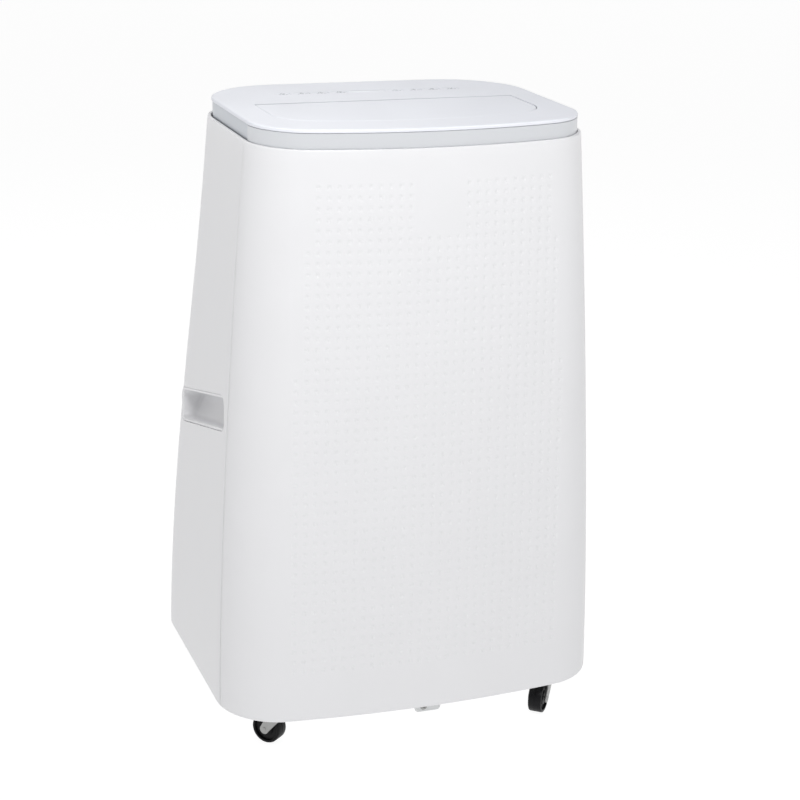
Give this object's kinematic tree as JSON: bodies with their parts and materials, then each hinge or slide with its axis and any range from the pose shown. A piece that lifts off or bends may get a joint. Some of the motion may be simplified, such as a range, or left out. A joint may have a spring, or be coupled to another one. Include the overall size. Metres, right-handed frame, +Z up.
{
  "type": "portable air conditioner",
  "caption": "Upright room air conditioner on swivel casters, with a hinged top outlet flap, top keys, side grips, rear intake grilles and an exhaust collar.",
  "frame": {"origin": "on the floor, under the middle of the object", "axes": "+Z up, front at -Y, +X to the right of a person facing the front"},
  "size_m": [0.48, 0.4, 0.75],
  "materials": {
    "white_shell": "moulded white plastic, satin gloss",
    "top_white": "moulded cool white plastic, satin gloss",
    "silver_band": "silver metallic lacquer on plastic",
    "key_print": "white plastic with pale grey print",
    "smoked_lens": "pale clear-faced plastic, hidden display",
    "inner_plastic": "grey moulded plastic",
    "black_plastic": "black moulded plastic",
    "steel": "zinc-plated steel",
    "caster_fork": "black nylon",
    "caster_tread": "black rubber-like tread",
    "coated_steel": "zinc-coated sheet",
    "black_paint": "black enamel on steel",
    "fin_aluminium": "thin fins",
    "copper_tube": "bare copper tube",
    "filter_mesh": "dark nylon mesh",
    "board_green": "green circuit board",
    "drain_rubber": "black soft rubber"
  },
  "bodies": {
    "frame": {"base_pan": "inner_plastic", "front_cover": "white_shell", "rear_housing": "white_shell", "top_cover": "top_white", "front_band": "silver_band", "rear_band": "silver_band", "handle_cup_left": "white_shell", "handle_cup_right": "white_shell", "outlet_duct": "inner_plastic", "display_lens": "smoked_lens", "control_board": "board_green", "exhaust_collar": "white_shell", "cord_gland": "black_plastic", "mid_deck": "coated_steel", "evaporator_coil": "fin_aluminium", "condenser_coil": "fin_aluminium", "upper_scroll": "inner_plastic", "upper_fan_motor": "coated_steel", "lower_scroll": "inner_plastic", "lower_fan_motor": "coated_steel", "compressor": "black_paint", "suction_tube": "copper_tube", "electrics_box": "coated_steel", "tab_screw": "steel"},
    "flap": {"outlet_flap": "top_white"},
    "vane_1": {"vane_1": "inner_plastic"},
    "vane_2": {"vane_2": "inner_plastic"},
    "vane_3": {"vane_3": "inner_plastic"},
    "vane_4": {"vane_4": "inner_plastic"},
    "vane_5": {"vane_5": "inner_plastic"},
    "vane_link": {"vane_link": "inner_plastic"},
    "key_1": {"key_1": "key_print"},
    "key_2": {"key_2": "key_print"},
    "key_3": {"key_3": "key_print"},
    "key_4": {"key_4": "key_print"},
    "key_5": {"key_5": "key_print"},
    "key_6": {"key_6": "key_print"},
    "key_7": {"key_7": "key_print"},
    "key_8": {"key_8": "key_print"},
    "upper_grille": {"upper_intake_grille": "white_shell", "upper_filter": "filter_mesh"},
    "lower_grille": {"lower_intake_grille": "white_shell", "lower_filter": "filter_mesh"},
    "upper_drain": {"upper_drain_plug": "drain_rubber"},
    "lower_drain": {"lower_drain_plug": "drain_rubber"},
    "front_left_caster": {"front_left_fork": "caster_fork", "front_left_axle": "steel"},
    "front_left_wheel": {"front_left_wheel": "caster_tread"},
    "front_right_caster": {"front_right_fork": "caster_fork", "front_right_axle": "steel"},
    "front_right_wheel": {"front_right_wheel": "caster_tread"},
    "back_left_caster": {"back_left_fork": "caster_fork", "back_left_axle": "steel"},
    "back_left_wheel": {"back_left_wheel": "caster_tread"},
    "back_right_caster": {"back_right_fork": "caster_fork", "back_right_axle": "steel"},
    "back_right_wheel": {"back_right_wheel": "caster_tread"},
    "upper_blower": {"upper_blower_wheel": "black_plastic"},
    "lower_blower": {"lower_blower_wheel": "black_plastic"}
  },
  "joints": [
    {"name": "flap_hinge", "type": "hinge", "parent": "frame", "child": "flap", "pos_m": [0, -0.0105, 0.7443], "axis": [-1, 0, 0], "range_deg": [0, 75]},
    {"name": "vane_1_swing", "type": "hinge", "parent": "frame", "child": "vane_1", "pos_m": [-0.11, -0.074, 0.6724], "axis": [0, 0, 1], "range_deg": [-30, 30]},
    {"name": "vane_2_swing", "type": "hinge", "parent": "frame", "child": "vane_2", "pos_m": [-0.055, -0.074, 0.6724], "axis": [0, 0, 1], "range_deg": [-30.5, 30.5]},
    {"name": "vane_3_swing", "type": "hinge", "parent": "frame", "child": "vane_3", "pos_m": [0, -0.074, 0.6724], "axis": [0, 0, 1], "range_deg": [-30.5, 30.5]},
    {"name": "vane_4_swing", "type": "hinge", "parent": "frame", "child": "vane_4", "pos_m": [0.055, -0.074, 0.6724], "axis": [0, 0, 1], "range_deg": [-30.5, 30.5]},
    {"name": "vane_5_swing", "type": "hinge", "parent": "frame", "child": "vane_5", "pos_m": [0.11, -0.074, 0.6724], "axis": [0, 0, 1], "range_deg": [-30.5, 30.5]},
    {"name": "vane_link_slide", "type": "slide", "parent": "frame", "child": "vane_link", "axis": [1, 0, 0], "range_m": [-0.0102, 0.0102]},
    {"name": "key_1_press", "type": "slide", "parent": "frame", "child": "key_1", "axis": [0, 0, -1], "range_m": [0, 0.0008], "stiffness_N_per_m": 1500},
    {"name": "key_2_press", "type": "slide", "parent": "frame", "child": "key_2", "axis": [0, 0, -1], "range_m": [0, 0.0008], "stiffness_N_per_m": 1500},
    {"name": "key_3_press", "type": "slide", "parent": "frame", "child": "key_3", "axis": [0, 0, -1], "range_m": [0, 0.0008], "stiffness_N_per_m": 1500},
    {"name": "key_4_press", "type": "slide", "parent": "frame", "child": "key_4", "axis": [0, 0, -1], "range_m": [0, 0.0008], "stiffness_N_per_m": 1500},
    {"name": "key_5_press", "type": "slide", "parent": "frame", "child": "key_5", "axis": [0, 0, -1], "range_m": [0, 0.0008], "stiffness_N_per_m": 1500},
    {"name": "key_6_press", "type": "slide", "parent": "frame", "child": "key_6", "axis": [0, 0, -1], "range_m": [0, 0.0008], "stiffness_N_per_m": 1500},
    {"name": "key_7_press", "type": "slide", "parent": "frame", "child": "key_7", "axis": [0, 0, -1], "range_m": [0, 0.0008], "stiffness_N_per_m": 1500},
    {"name": "key_8_press", "type": "slide", "parent": "frame", "child": "key_8", "axis": [0, 0, -1], "range_m": [0, 0.0008], "stiffness_N_per_m": 1500},
    {"name": "upper_grille_pull", "type": "slide", "parent": "frame", "child": "upper_grille", "axis": [0, 0.9964, 0.0851], "range_m": [0, 0.1]},
    {"name": "lower_grille_pull", "type": "slide", "parent": "frame", "child": "lower_grille", "axis": [0, 0.9984, 0.0572], "range_m": [0, 0.1]},
    {"name": "upper_drain_pull", "type": "slide", "parent": "frame", "child": "upper_drain", "axis": [0, 0.9932, 0.116], "range_m": [0, 0.025]},
    {"name": "lower_drain_pull", "type": "slide", "parent": "frame", "child": "lower_drain", "axis": [0, 1, 0.0053], "range_m": [0, 0.025]},
    {"name": "front_left_swivel", "type": "hinge", "parent": "frame", "child": "front_left_caster", "pos_m": [-0.172, -0.155, 0.0428], "axis": [0, 0, 1], "continuous": true},
    {"name": "front_left_roll", "type": "hinge", "parent": "front_left_caster", "child": "front_left_wheel", "pos_m": [-0.1825, -0.14292, 0.019], "axis": [-0.7547, -0.6561, 0], "continuous": true},
    {"name": "front_right_swivel", "type": "hinge", "parent": "frame", "child": "front_right_caster", "pos_m": [0.172, -0.155, 0.0428], "axis": [0, 0, 1], "continuous": true},
    {"name": "front_right_roll", "type": "hinge", "parent": "front_right_caster", "child": "front_right_wheel", "pos_m": [0.16171, -0.16726, 0.019], "axis": [0.766, -0.6428, 0], "continuous": true},
    {"name": "back_left_swivel", "type": "hinge", "parent": "frame", "child": "back_left_caster", "pos_m": [-0.172, 0.135, 0.0428], "axis": [0, 0, 1], "continuous": true},
    {"name": "back_left_roll", "type": "hinge", "parent": "back_left_caster", "child": "back_left_wheel", "pos_m": [-0.16653, 0.15004, 0.019], "axis": [-0.9397, 0.342, 0], "continuous": true},
    {"name": "back_right_swivel", "type": "hinge", "parent": "frame", "child": "back_right_caster", "pos_m": [0.172, 0.135, 0.0428], "axis": [0, 0, 1], "continuous": true},
    {"name": "back_right_roll", "type": "hinge", "parent": "back_right_caster", "child": "back_right_wheel", "pos_m": [0.16653, 0.15004, 0.019], "axis": [-0.9397, -0.342, 0], "continuous": true},
    {"name": "upper_blower_spin", "type": "hinge", "parent": "frame", "child": "upper_blower", "pos_m": [0, -0.122, 0.535], "axis": [0, 1, 0], "continuous": true},
    {"name": "lower_blower_spin", "type": "hinge", "parent": "frame", "child": "lower_blower", "pos_m": [0.03, -0.085, 0.2], "axis": [0, 1, 0], "continuous": true}
  ],
  "couplings": [
    {"joint": "vane_2_swing", "follows": "vane_1_swing", "ratio": 1},
    {"joint": "vane_3_swing", "follows": "vane_1_swing", "ratio": 1},
    {"joint": "vane_4_swing", "follows": "vane_1_swing", "ratio": 1},
    {"joint": "vane_5_swing", "follows": "vane_1_swing", "ratio": 1},
    {"joint": "vane_link_slide", "follows": "vane_1_swing", "m_per_rad": -0.018}
  ]
}
